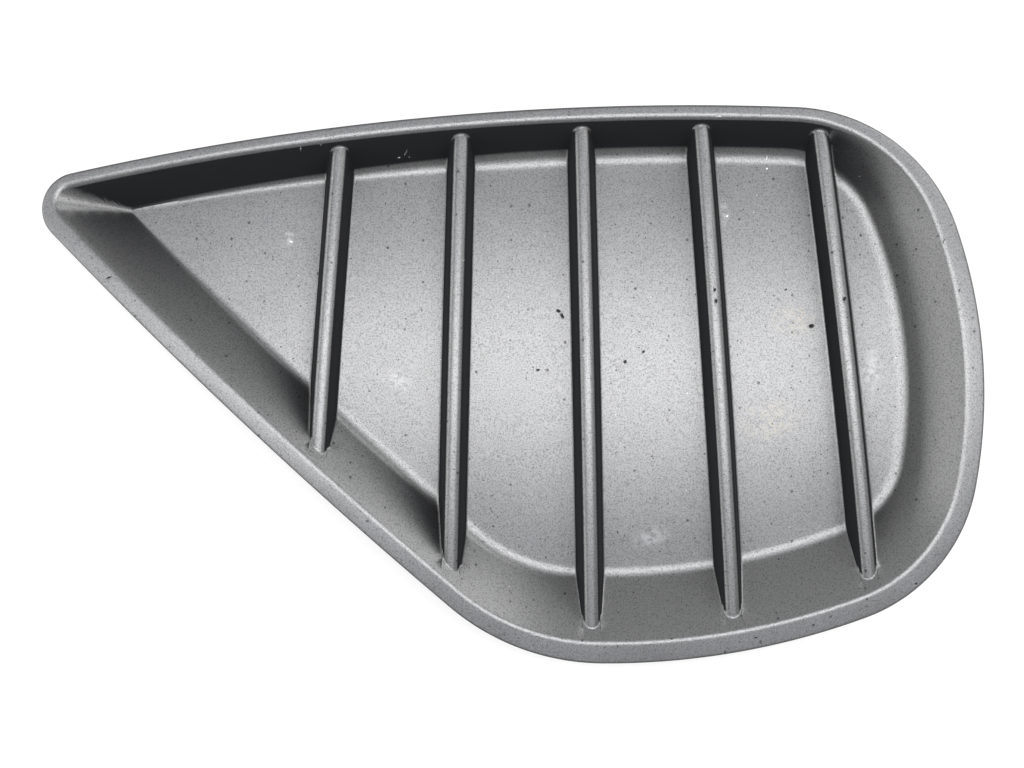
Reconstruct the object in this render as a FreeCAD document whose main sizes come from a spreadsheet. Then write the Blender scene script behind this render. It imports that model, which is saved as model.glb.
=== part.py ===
"""Bumper grille insert: one moulded shell with a flange, a sunk floor and five hollow ribs.

Frame: X runs along the length with the pointed tip at -X, Y up the face, Z out of the face.
The finished part lies on its back with its origin under the middle of its box.
"""
import FreeCAD, Part
import math
import os
import Sketcher

Vector = FreeCAD.Vector
Rotation = FreeCAD.Rotation

# Driving dimensions in millimetres and degrees: the sheet's cells, in groups
SIZES = {
    # Outer edge of the flange: four long arcs, each given by a point on it, the way it faces
    # there and its radius, and the radius of each corner
    "top_point_x": 70.0,
    "top_point_y": 94.2,
    "top_facing": 90.0,
    "top_radius": 1082.7,
    "right_point_x": 160.0,
    "right_point_y": -3.5,
    "right_facing": 0.0,
    "right_radius": 183.5,
    "bottom_point_x": 33.5,
    "bottom_point_y": -94.0,
    "bottom_facing": -90.0,
    "bottom_radius": 258.0,
    "slant_point_x": -75.6,
    "slant_point_y": -25.8,
    "slant_facing": -132.5,
    "slant_radius": 2313.0,
    "outer_tip_corner": 12.0,
    "outer_top_corner": 58.5,
    "outer_bottom_corner": 57.0,
    "outer_slant_corner": 80.0,
    # Flange widths on the four sides, and the corners of the rim where the walls start
    "flange_top": 4.2,
    "flange_right": 6.4,
    "flange_bottom": 7.0,
    "flange_slant": 6.2,
    "rim_tip_corner": 5.5,
    "rim_top_corner": 52.0,
    "rim_bottom_corner": 51.0,
    "rim_slant_corner": 74.0,
    # Widths of the sloping walls seen from the front, and the corners of the floor
    "wall_top": 10.6,
    "wall_right": 19.1,
    "wall_bottom": 22.5,
    "wall_slant": 17.0,
    "floor_tip_corner": 1.2,
    "floor_top_corner": 32.0,
    "floor_bottom_corner": 30.0,
    "floor_slant_corner": 55.0,
    # The face is crowned like the bumper round it
    "crown_along": 900.0,
    "crown_across": 430.0,
    # Depth of the floor under the flange's face, and the wall of the moulding
    "floor_depth": 17.0,
    "skin": 2.5,
    # Roundings
    "rim_round": 3.3,
    "edge_round": 0.8,
    "floor_round": 8.0,
    "floor_tip_round": 1.0,
    # Ribs: first rib, pitch, and the far point from which they fan out
    "rib_count": 5,
    "rib_first_x": -63.3,
    "rib_pitch": 44.4,
    "rib_fan_x": 5.0,
    "rib_fan_y": 1008.0,
    "rib_height": 13.5,
    "rib_crest": 3.1,
    "rib_draft": 8.0,
    "rib_skin": 2.1,
    # Snap hooks behind the flange: how far inside the outer edge, and their own sizes
    "hook_inset": 2.4,
    "hook_width": 12.0,
    "hook_thickness": 1.6,
    "hook_grip": 3.0,
    "hook_catch": 1.2,
    "hook_nose": 3.6,
    "hook_root": 1.2,
}

# Snap hooks: name, the side they stand on, the coordinate that places them and its cell's value
HOOKS = (
    ("hook_top_left", "top", "x", -84.0),
    ("hook_top_right", "top", "x", 48.0),
    ("hook_right", "right", "y", 4.0),
    ("hook_bottom", "bottom", "x", 52.0),
    ("hook_slant_left", "slant", "x", -108.0),
    ("hook_slant_right", "slant", "x", -44.0),
)

# The outline runs anticlockwise over four sides, and each side ends in the corner of its pair
SIDES = ("right", "top", "slant", "bottom")
CORNERS = ("top", "tip", "slant", "bottom")

# The blanks that carry the crowned faces reach past the outline by these factors
BLANK_REACH = 1.2
BLANK_SWEEP = 1.4

# Spans in which each arc's wall is ruled
WALL_STEPS = 8

# Fineness at which the finished part's box is measured
BOX_TOLERANCE = 0.02

doc = FreeCAD.newDocument("bumper_grille")


def make_sheet():
    """Write every driving dimension into the sheet under its own alias."""
    cells = doc.addObject("Spreadsheet::Sheet", "sizes")
    rows = list(SIZES.items()) + [(f"{name}_{axis}", place) for name, side, axis, place in HOOKS]
    for row, (alias, number) in enumerate(rows, 1):
        cells.set(f"A{row}", alias.replace("_", " "))
        cells.set(f"B{row}", str(number))
        cells.setAlias(f"B{row}", alias)
    doc.recompute()
    return cells


sheet = make_sheet()


def value(expression):
    """Work out an expression of the sheet's cells as a plain number."""
    result = reader.evalExpression(expression)
    return float(getattr(result, "Value", result))


def side_centre(side):
    """Expressions for the centre of one long arc of the outer edge."""
    return (
        f"sizes.{side}_point_x - sizes.{side}_radius * cos(sizes.{side}_facing)",
        f"sizes.{side}_point_y - sizes.{side}_radius * sin(sizes.{side}_facing)",
    )


def centre_point(side):
    """Centre of one long arc of the outer edge."""
    centre_x, centre_y = side_centre(side)
    return Vector(value(centre_x), value(centre_y), 0)


def origin_plane(body, role):
    """Find one of the body's own base planes."""
    return next(plane for plane in body.Origin.OriginFeatures if plane.Role == role)


def new_sketch(body, name, role):
    """Add an empty sketch to the body, lying flat on one of its base planes."""
    sketch = body.newObject("Sketcher::SketchObject", name)
    sketch.AttachmentSupport = (origin_plane(body, role), [""])
    sketch.MapMode = "FlatFace"
    return sketch


def bind(sketch, kind, arguments, expression, name):
    """Add a dimension to the sketch and bind it to an expression of the sheet."""
    index = sketch.addConstraint(Sketcher.Constraint(kind, *arguments, value(expression)))
    sketch.renameConstraint(index, name)
    sketch.setExpression(f"Constraints.{name}", expression)


def join(sketch, pairs, kind="Coincident"):
    """Join curve ends, given as pairs of (curve, point)."""
    for first, second in pairs:
        sketch.addConstraint(Sketcher.Constraint(kind, *first, *second))


def corner_centre(first, second, radius):
    """Centre of a corner of this radius inside two circles that follow each other anticlockwise."""
    (start, reach_a), (end, reach_b) = first, second
    reach_a -= radius
    reach_b -= radius
    span = end - start
    gap = span.Length
    along = (reach_a ** 2 - reach_b ** 2 + gap ** 2) / (2 * gap)
    across = math.sqrt(reach_a ** 2 - along ** 2)
    ahead = span * (1 / gap)
    left = Vector(-ahead.y, ahead.x, 0)
    return start + ahead * along + left * across


def add_outline(body, name, insets, corners):
    """Sketch the tear-drop outline, drawn in from the outer edge by an inset on each side.

    insets and corners hold an expression for each side and for each corner's radius.
    """
    circles = {}
    for side in SIDES:
        circles[side] = (centre_point(side), value(f"sizes.{side}_radius - ({insets[side]})"))
    rounds = {}
    for place, corner in enumerate(CORNERS):
        first, second = circles[SIDES[place]], circles[SIDES[(place + 1) % 4]]
        radius = value(corners[corner])
        rounds[corner] = (corner_centre(first, second, radius), radius)

    def bearing(centre, point):
        return math.atan2(point.y - centre.y, point.x - centre.x)

    sketch = new_sketch(body, name, "XY_Plane")
    for place, side in enumerate(SIDES):
        before, after = CORNERS[place - 1], CORNERS[place]
        centre, radius = circles[side]
        start = bearing(centre, rounds[before][0])
        end = bearing(centre, rounds[after][0])
        circle = Part.Circle(centre, Vector(0, 0, 1), radius)
        sketch.addGeometry(Part.ArcOfCircle(circle, start, end), False)
        middle, small = rounds[after]
        next_centre = circles[SIDES[(place + 1) % 4]][0]
        turn = bearing(next_centre, middle)
        circle = Part.Circle(middle, Vector(0, 0, 1), small)
        sketch.addGeometry(Part.ArcOfCircle(circle, end, turn), False)
    join(sketch, [((curve, 2), ((curve + 1) % 8, 1)) for curve in range(8)], "Tangent")
    for place, side in enumerate(SIDES):
        curve = 2 * place
        centre_x, centre_y = side_centre(side)
        bind(sketch, "DistanceX", (-1, 1, curve, 3), centre_x, f"{side}_x")
        bind(sketch, "DistanceY", (-1, 1, curve, 3), centre_y, f"{side}_y")
        reach = f"sizes.{side}_radius - ({insets[side]})"
        bind(sketch, "Radius", (curve,), reach, f"{side}_reach")
    for place, corner in enumerate(CORNERS):
        bind(sketch, "Radius", (2 * place + 1,), corners[corner], f"{corner}_corner")
    return sketch


HALF_LENGTH = f"{BLANK_REACH} * sizes.right_point_x"
HALF_WIDTH = "sizes.top_point_y"
SWEEP = f"2 * {BLANK_SWEEP} * asin(({HALF_WIDTH}) / sizes.crown_across)"


def revolve(body, sketch, name):
    """Turn a sketch about its construction line, half the sweep to each side."""
    turned = body.newObject("PartDesign::Revolution", name)
    turned.Profile = sketch
    turned.ReferenceAxis = (sketch, ["Axis0"])
    turned.Midplane = True
    turned.Angle = value(SWEEP)
    turned.setExpression("Angle", SWEEP)
    sketch.Visibility = False
    body.Tip = turned
    return turned


def add_axis(sketch, curve):
    """Draw the crown's axis as a construction line from below the origin."""
    height = value("-sizes.crown_across")
    length = value(HALF_LENGTH)
    line = Part.LineSegment(Vector(0, height, 0), Vector(length, height, 0))
    sketch.addGeometry(line, True)
    sketch.addConstraint(Sketcher.Constraint("Horizontal", curve))
    sketch.addConstraint(Sketcher.Constraint("PointOnObject", curve, 1, -2))
    bind(sketch, "DistanceY", (-1, 1, curve, 1), "-sizes.crown_across", "axis_height")
    bind(sketch, "DistanceX", (curve, 1, curve, 2), HALF_LENGTH, "axis_length")


def make_crown(name, drop):
    """Body under the crowned face, lowered by a drop along the face's normals."""
    body = doc.addObject("PartDesign::Body", name)
    sketch = new_sketch(body, f"{name}_profile", "XZ_Plane")
    half = value(HALF_LENGTH)
    radius = value(f"sizes.crown_along - ({drop})")
    centre = Vector(0, value("-sizes.crown_along"), 0)
    side = math.acos(half / radius)
    top = centre.y + radius * math.sin(side)
    base = -half / 2
    circle = Part.Circle(centre, Vector(0, 0, 1), radius)
    sketch.addGeometry(Part.ArcOfCircle(circle, side, math.pi - side), False)
    corners = [Vector(-half, top, 0), Vector(-half, base, 0), Vector(half, base, 0), Vector(half, top, 0)]
    for first, second in zip(corners, corners[1:]):
        sketch.addGeometry(Part.LineSegment(first, second), False)
    join(sketch, [((curve, 2), ((curve + 1) % 4, 1)) for curve in range(4)])
    for curve, kind in ((1, "Vertical"), (2, "Horizontal"), (3, "Vertical")):
        sketch.addConstraint(Sketcher.Constraint(kind, curve))
    sketch.addConstraint(Sketcher.Constraint("PointOnObject", 0, 3, -2))
    bind(sketch, "DistanceY", (-1, 1, 0, 3), "-sizes.crown_along", "centre_height")
    bind(sketch, "Radius", (0,), f"sizes.crown_along - ({drop})", "crown_radius")
    bind(sketch, "DistanceX", (1, 2, -1, 1), HALF_LENGTH, "left_reach")
    bind(sketch, "DistanceX", (-1, 1, 3, 1), HALF_LENGTH, "right_reach")
    bind(sketch, "DistanceY", (2, 1, -1, 1), f"({HALF_LENGTH}) / 2", "base_depth")
    add_axis(sketch, 4)
    revolve(body, sketch, f"{name}_turned")
    return body


def crown_height(x, y, drop):
    """Height of the crowned face, lowered by a drop, over a point of the plan."""
    along, across = value("sizes.crown_along"), value("sizes.crown_across")
    ring = across - along + math.sqrt((along - drop) ** 2 - x ** 2)
    return math.sqrt(ring ** 2 - y ** 2) - across


def arc_point(arc, share):
    """Point at a share of the way along an arc."""
    return arc.value(arc.FirstParameter + share * (arc.LastParameter - arc.FirstParameter))


def wall_line(upper, lower, share):
    """Ends of the straight line down the wall at one share of a pair of matching arcs.

    upper and lower are each an arc of an outline and the drop of the crowned face that it lies on.
    """
    ends = []
    for arc, drop in (upper, lower):
        end = arc_point(arc, share)
        end.z = crown_height(end.x, end.y, drop)
        ends.append(end)
    return ends


def level_ring(pairs, height):
    """Closed wire in which the walls, lengthened where needed, cross one height."""
    edges = []
    for upper, lower in pairs:
        points = []
        for step in range(WALL_STEPS + 1):
            top, foot = wall_line(upper, lower, step / WALL_STEPS)
            points.append(top + (foot - top) * ((height - top.z) / (foot.z - top.z)))
        curve = Part.BSplineCurve()
        curve.interpolate(points)
        edges.append(curve.toShape())
    return Part.Wire(edges)


def make_walls(name, upper, lower):
    """Solid inside straight-ruled walls that run through two outlines on two crowned faces.

    upper and lower are each a sketch and the expression of its drop. The solid ends in flat
    faces just above the crown and just below the floor, and the crowned faces are cut afterwards.
    """
    (rim_sketch, rim_drop), (floor_sketch, floor_drop) = upper, lower
    pairs = [
        ((rim_arc, value(rim_drop)), (floor_arc, value(floor_drop)))
        for rim_arc, floor_arc in zip(rim_sketch.Geometry, floor_sketch.Geometry)
    ]
    lines = [wall_line(*pair, step / WALL_STEPS) for pair in pairs for step in range(WALL_STEPS)]
    clear = value("sizes.skin") / 2
    ceiling = clear
    ground = min(foot.z for top, foot in lines) - clear
    walls = doc.addObject("Part::Feature", name)
    walls.Shape = Part.makeLoft([level_ring(pairs, ground), level_ring(pairs, ceiling)], True, True)
    return walls


def round_floor(name, plug, radius, tip_radius, tip_corner):
    """Round the edge between a plug's walls and its floor, less and less towards the pointed tip."""
    caps = sorted(plug.Shape.Faces, key=lambda face: face.Area)[-2:]
    floor = min(caps, key=lambda face: face.CenterOfMass.z)
    tip = min((corner.Point for corner in floor.Vertexes), key=lambda point: point.x)
    edges = []
    for number, edge in enumerate(plug.Shape.Edges, 1):
        if any(edge.isSame(other) for other in floor.Edges):
            ends = (edge.valueAt(edge.FirstParameter), edge.valueAt(edge.LastParameter))
            sizes = [tip_radius if (end - tip).Length < 3 * tip_corner else radius for end in ends]
            edges.append((number, *sizes))
    rounded = doc.addObject("Part::Fillet", name)
    rounded.Base = plug
    rounded.Edges = edges
    doc.recompute()
    return rounded


def boolean(kind, name, base, tool):
    """Part boolean of two objects: Cut, Common or Fuse."""
    result = doc.addObject(f"Part::{kind}", name)
    result.Base = base
    result.Tool = tool
    doc.recompute()
    return result


def fuse_all(name, parts):
    """One solid from several that meet."""
    result = doc.addObject("Part::MultiFuse", name)
    result.Shapes = parts
    doc.recompute()
    return result


def round_edges(name, base, edges, radius):
    """Part fillet of the given edges of an object."""
    numbers = [n for n, edge in enumerate(base.Shape.Edges, 1) if any(edge.isSame(e) for e in edges)]
    rounded = doc.addObject("Part::Fillet", name)
    rounded.Base = base
    rounded.Edges = [(number, radius, radius) for number in numbers]
    doc.recompute()
    return rounded


def make_rib(name, number, inset, base_depth):
    """Round-topped, drafted bar that follows the crown, with its section drawn in by an inset."""
    body = doc.addObject("PartDesign::Body", name)
    sketch = new_sketch(body, f"{name}_section", "XZ_Plane")
    lean = math.radians(value("sizes.rib_draft"))
    radius = value(f"sizes.rib_crest - ({inset})")
    crest = "sizes.floor_depth - sizes.rib_height + sizes.rib_crest"
    centre = Vector(0, -value(crest), 0)
    base = -value(base_depth)
    touch = centre + Vector(math.cos(lean), math.sin(lean), 0) * radius
    foot = touch.x + (touch.y - base) * math.tan(lean)
    circle = Part.Circle(centre, Vector(0, 0, 1), radius)
    sketch.addGeometry(Part.ArcOfCircle(circle, lean, math.pi - lean), False)
    corners = [Vector(-touch.x, touch.y, 0), Vector(-foot, base, 0), Vector(foot, base, 0), touch]
    for first, second in zip(corners, corners[1:]):
        sketch.addGeometry(Part.LineSegment(first, second), False)
    join(sketch, [((0, 2), (1, 1)), ((3, 2), (0, 1))], "Tangent")
    join(sketch, [((1, 2), (2, 1)), ((2, 2), (3, 1))])
    sketch.addConstraint(Sketcher.Constraint("Symmetric", 1, 2, 2, 2, -2))
    sketch.addConstraint(Sketcher.Constraint("PointOnObject", 0, 3, -2))
    bind(sketch, "DistanceY", (0, 3, -1, 1), crest, "crest_depth")
    bind(sketch, "Radius", (0,), f"sizes.rib_crest - ({inset})", "crest_radius")
    bind(sketch, "DistanceY", (2, 1, -1, 1), base_depth, "base_depth")
    slope = sketch.addConstraint(Sketcher.Constraint("Angle", 3, math.pi / 2 + lean))
    sketch.renameConstraint(slope, "draft")
    sketch.setExpression("Constraints.draft", "90 + sizes.rib_draft")
    add_axis(sketch, 4)
    revolve(body, sketch, f"{name}_turned")

    place = f"sizes.rib_first_x + {number} * sizes.rib_pitch"
    x = value(place)
    fan = math.atan2(x - value("sizes.rib_fan_x"), value("sizes.rib_fan_y"))
    tilt = x * math.sin(fan) / value("sizes.crown_along")
    turn = Rotation(Vector(0, 0, 1), math.degrees(fan)) * Rotation(Vector(1, 0, 0), math.degrees(tilt))
    body.Placement = FreeCAD.Placement(Vector(x, 0, crown_height(x, 0, 0)), turn)
    return body


def make_hook(name, side, axis, place):
    """Snap hook under the flange: a tongue with a nose that catches the panel's inner edge."""
    body = doc.addObject("PartDesign::Body", name)
    sketch = new_sketch(body, f"{name}_profile", "XZ_Plane")
    thick, root = "sizes.hook_thickness", "sizes.hook_root"
    grip, catch, nose = "sizes.hook_grip", "sizes.hook_catch", "sizes.hook_nose"
    land = f"{nose} / 5"
    deep = f"{grip} + {nose}"
    outline = [
        (f"-{thick}", root),
        (f"-{thick}", f"-({deep})"),
        ("0", f"-({deep})"),
        (catch, f"-({grip} + {land})"),
        (catch, f"-{grip}"),
        ("0", f"-{grip}"),
        ("0", root),
    ]
    points = [Vector(value(x), value(y), 0) for x, y in outline]
    for first, second in zip(points, points[1:] + points[:1]):
        sketch.addGeometry(Part.LineSegment(first, second), False)
    count = len(points)
    join(sketch, [((line, 2), ((line + 1) % count, 1)) for line in range(count)])
    for line, (x, y) in enumerate(outline):
        if x == "0":
            sketch.addConstraint(Sketcher.Constraint("PointOnObject", line, 1, -2))
        else:
            bind(sketch, "DistanceX", (-1, 1, line, 1), x, f"x_{line}")
        bind(sketch, "DistanceY", (-1, 1, line, 1), y, f"y_{line}")
    pad = body.newObject("PartDesign::Pad", f"{name}_pad")
    pad.Profile = sketch
    pad.Midplane = True
    pad.Length = value("sizes.hook_width")
    pad.setExpression("Length", "sizes.hook_width")
    sketch.Visibility = False
    body.Tip = pad

    centre = centre_point(side)
    reach = value(f"sizes.{side}_radius - sizes.hook_inset")
    given = value(f"sizes.{name}_{axis}")
    if axis == "x":
        rise = math.sqrt(reach ** 2 - (given - centre.x) ** 2)
        foot = Vector(given, centre.y + (rise if side == "top" else -rise), 0)
    else:
        foot = Vector(centre.x + math.sqrt(reach ** 2 - (given - centre.y) ** 2), given, 0)
    outward = math.degrees(math.atan2(foot.y - centre.y, foot.x - centre.x))
    foot.z = crown_height(foot.x, foot.y, value("sizes.skin"))
    body.Placement = FreeCAD.Placement(foot, Rotation(Vector(0, 0, 1), outward))
    return body


# Outlines, each bound to the outer edge by the widths of the flange and the walls
outlines = doc.addObject("PartDesign::Body", "outlines")
reader = outlines

rim_inset = {side: f"sizes.flange_{side}" for side in SIDES}
floor_inset = {side: f"sizes.flange_{side} + sizes.wall_{side}" for side in SIDES}
back_shift = {
    side: f"sizes.skin * tan(atan(sizes.floor_depth / sizes.wall_{side}) / 2)" for side in SIDES
}
back_rise = {side: f"sizes.skin / 2 * sizes.wall_{side} / sizes.floor_depth" for side in SIDES}
back_rim_inset = {
    side: f"{rim_inset[side]} - {back_shift[side]} - {back_rise[side]}" for side in SIDES
}
back_floor_inset = {side: f"{floor_inset[side]} - {back_shift[side]}" for side in SIDES}


def corner_sizes(ring, extra=""):
    """Expressions for the four corner radii of a ring."""
    return {corner: f"sizes.{ring}_{corner}_corner{extra}" for corner in CORNERS}


outer_edge = add_outline(outlines, "outer_edge", dict.fromkeys(SIDES, "0"), corner_sizes("outer"))
rim = add_outline(outlines, "rim", rim_inset, corner_sizes("rim"))
floor = add_outline(outlines, "floor", floor_inset, corner_sizes("floor"))
back_rim = add_outline(outlines, "back_rim", back_rim_inset, corner_sizes("rim", " + sizes.skin"))
back_floor = add_outline(outlines, "back_floor", back_floor_inset, corner_sizes("floor", " + sizes.skin"))

# Crowned faces at the depths where the moulding starts, turns and ends
face_crown = make_crown("face_crown", "0")
mid_crown = make_crown("mid_crown", "sizes.skin / 2")
under_crown = make_crown("under_crown", "sizes.skin")
floor_crown = make_crown("floor_crown", "sizes.floor_depth")
back_crown = make_crown("back_crown", "sizes.floor_depth + sizes.skin")
doc.recompute()

# Flange: the crowned sheet inside the outer edge
column = doc.addObject("Part::Extrusion", "outer_column")
column.Base = outer_edge
column.DirMode = "Custom"
column.Dir = Vector(0, 0, 1)
column.Solid = True
column.LengthFwd = value(HALF_LENGTH) / 2
column.LengthRev = value(HALF_LENGTH) / 2
column.setExpression("LengthFwd", f"({HALF_LENGTH}) / 2")
column.setExpression("LengthRev", f"({HALF_LENGTH}) / 2")
doc.recompute()
flange_blank = boolean("Common", "flange_blank", column, face_crown)
flange = boolean("Cut", "flange", flange_blank, under_crown)

# Dish: the space in front of the walls and floor, and the same space one skin further back
floor_drop = "sizes.floor_depth"
back_drop = "sizes.floor_depth + sizes.skin"
front = make_walls("front_walls", (rim, "0"), (floor, floor_drop))
back = make_walls("back_walls", (back_rim, "sizes.skin / 2"), (back_floor, back_drop))
doc.recompute()
front = boolean("Cut", "front_space", front, floor_crown)
back = boolean("Cut", "back_space", boolean("Common", "back_block", back, mid_crown), back_crown)
front = round_floor(
    "front_round",
    front,
    value("sizes.floor_round"),
    value("sizes.floor_tip_round"),
    value("sizes.floor_tip_corner"),
)
back = round_floor(
    "back_round",
    back,
    value("sizes.floor_round + sizes.skin"),
    value("sizes.floor_tip_round + sizes.skin"),
    value("sizes.floor_tip_corner + sizes.skin"),
)
dish = boolean("Cut", "dish", boolean("Fuse", "flange_and_walls", flange, back), front)

# Rounded rim and softened outer edge
face = max(
    (face for face in dish.Shape.Faces if len(face.Wires) == 2),
    key=lambda face: face.BoundBox.ZMax,
)
rim_wire = min(face.Wires, key=lambda wire: wire.BoundBox.DiagonalLength)
dish = round_edges("rim_rounded", dish, rim_wire.Edges, value("sizes.rim_round"))
face = max(
    (face for face in dish.Shape.Faces if len(face.Wires) == 2),
    key=lambda face: face.BoundBox.ZMax,
)
dish = round_edges("edge_rounded", dish, face.OuterWire.Edges, value("sizes.edge_round"))

# Ribs run from wall to wall, and each is hollow from behind
rib_depth = "sizes.floor_depth + sizes.skin / 2"
groove_depth = "sizes.floor_depth + 3 * sizes.skin"
ribs = []
grooves = []
for number in range(int(value("sizes.rib_count"))):
    rib = make_rib(f"rib_{number + 1}", number, "0", rib_depth)
    ribs.append(boolean("Common", f"rib_{number + 1}_trimmed", rib, back))
    grooves.append(make_rib(f"groove_{number + 1}", number, "sizes.rib_skin", groove_depth))
ribbed = fuse_all("ribbed_dish", [dish] + ribs)
hollow = boolean("Cut", "hollow_ribs", ribbed, fuse_all("grooves", grooves))

hooks = [make_hook(*hook) for hook in HOOKS]
doc.recompute()
grille = fuse_all("bumper_grille", [hollow] + hooks)
grille.Label = "bumper_grille"

# Stand the part on its back with the origin under the middle of its box
box = FreeCAD.BoundBox()
for point in grille.Shape.tessellate(BOX_TOLERANCE)[0]:
    box.add(point)
shift = Vector(-box.Center.x, -box.Center.y, -box.ZMin)
grille.Placement = FreeCAD.Placement(shift, Rotation())

for item in doc.Objects:
    if {"Invalid", "Error"} & set(item.State):
        raise RuntimeError(f"{item.Label} did not build")
if grille.Shape.isNull() or not grille.Shape.isValid() or len(grille.Shape.Solids) != 1:
    raise RuntimeError("bumper_grille is not one valid solid")

os.makedirs("parts", exist_ok=True)
grille.Shape.exportStep("parts/bumper_grille.step")
print(f"bumper_grille: volume {grille.Shape.Volume:.0f} mm3, box {box}, moved by {shift}")
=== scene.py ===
"""Looks of a bumper grille insert: its moulding as a fine closed mesh, its plastic, and a plain studio.

The mesh is worked out from the same driving sizes as the part's source. The wear that the photo shows
lies on it, as hollows where it is deep and in the material where it is flat.
"""

import logging
import math
from dataclasses import dataclass, field
from enum import Enum

import bpy
import numpy as np
from mathutils import Matrix, Vector
from mathutils.geometry import delaunay_2d_cdt


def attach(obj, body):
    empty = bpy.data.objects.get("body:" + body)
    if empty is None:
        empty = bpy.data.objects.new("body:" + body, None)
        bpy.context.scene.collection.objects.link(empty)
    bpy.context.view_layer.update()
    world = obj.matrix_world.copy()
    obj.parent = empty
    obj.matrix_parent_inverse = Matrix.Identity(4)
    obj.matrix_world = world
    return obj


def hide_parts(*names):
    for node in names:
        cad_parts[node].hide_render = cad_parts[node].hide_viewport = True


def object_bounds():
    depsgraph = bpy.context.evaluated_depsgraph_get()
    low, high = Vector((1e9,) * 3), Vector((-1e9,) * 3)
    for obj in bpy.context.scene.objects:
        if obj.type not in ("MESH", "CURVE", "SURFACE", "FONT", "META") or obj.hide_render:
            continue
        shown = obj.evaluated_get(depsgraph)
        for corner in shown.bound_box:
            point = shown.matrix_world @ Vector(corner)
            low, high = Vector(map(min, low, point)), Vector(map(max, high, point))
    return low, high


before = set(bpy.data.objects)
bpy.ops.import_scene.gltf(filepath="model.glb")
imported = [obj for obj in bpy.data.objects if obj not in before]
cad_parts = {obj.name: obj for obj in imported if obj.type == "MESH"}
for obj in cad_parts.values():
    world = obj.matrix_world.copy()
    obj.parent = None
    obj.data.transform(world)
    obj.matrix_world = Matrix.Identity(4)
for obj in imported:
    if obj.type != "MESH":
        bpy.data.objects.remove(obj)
cad_low, cad_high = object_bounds()

log = logging.getLogger("bumper_grille")

NODE = "bumper_grille"
MM = 0.001
# Tells the triangulation to keep only what lies inside the closed lines.
INSIDE_ONLY = 1

Tree = bpy.types.NodeTree
Socket = bpy.types.NodeSocket


class Side(Enum):
    """The long sides of the outline, anticlockwise. Each one ends in a corner."""

    RIGHT = 0
    TOP = 1
    SLANT = 2
    BOTTOM = 3

    @property
    def following(self) -> "Side":
        """The side that this one's corner leads to."""
        return Side((self.value + 1) % len(Side))


class Face(Enum):
    """The two faces of the moulding."""

    FRONT = "front"
    BACK = "back"


class Wear(Enum):
    """What a mark of use on the face is. The value is its colour."""

    # Its colour is painted shade in the dents.
    DENT = "#0c0c0d"
    SPECK = "#dcdcd9"
    SCUFF = "#a9abad"
    STAIN = "#8f8562"


@dataclass(frozen=True)
class Mark:
    """One mark of use: its place on the plan, length and width in millimetres, bearing in degrees.

    A depth in millimetres makes it a hollow in the surface. The mesh gets rings of points round a
    hollow, at some shares of the way to its edge.
    """

    wear: Wear
    x: float
    y: float
    length: float
    width: float
    bearing: float = 0.0
    depth: float = 0.0
    rings: tuple[float, ...] = (0.3, 0.6, 0.85, 1.05, 1.25, 1.6)
    ring_points: int = 12

    def inside(self, x: np.ndarray, y: np.ndarray) -> np.ndarray:
        """Distance of points from the middle, as a share of the way to the mark's edge.

        Args:
            x: the points' x.
            y: the points' y.

        Returns:
            One share for each point.
        """
        turn = math.radians(self.bearing)
        away_x, away_y = x / MM - self.x, y / MM - self.y
        along = away_x * math.cos(turn) + away_y * math.sin(turn)
        across = away_y * math.cos(turn) - away_x * math.sin(turn)
        return np.hypot(along * 2 / self.length, across * 2 / self.width)

    def drop(self, x: np.ndarray, y: np.ndarray) -> np.ndarray:
        """How far the surface lies lower at points of the plan."""
        return self.depth * MM * np.maximum(1 - self.inside(x, y) ** 2, 0) ** 2

    def mesh_points(self) -> np.ndarray:
        """Plan points that carry the hollow's shape.

        Returns:
            The points in metres, as rows of x and y.
        """
        turn = math.radians(self.bearing)
        points = [(self.x, self.y)]
        for share in self.rings:
            for place in range(self.ring_points):
                sweep = 2 * math.pi * place / self.ring_points
                along = share * self.length / 2 * math.cos(sweep)
                across = share * self.width / 2 * math.sin(sweep)
                x = self.x + along * math.cos(turn) - across * math.sin(turn)
                points.append((x, self.y + along * math.sin(turn) + across * math.cos(turn)))
        return np.array(points) * MM
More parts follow.
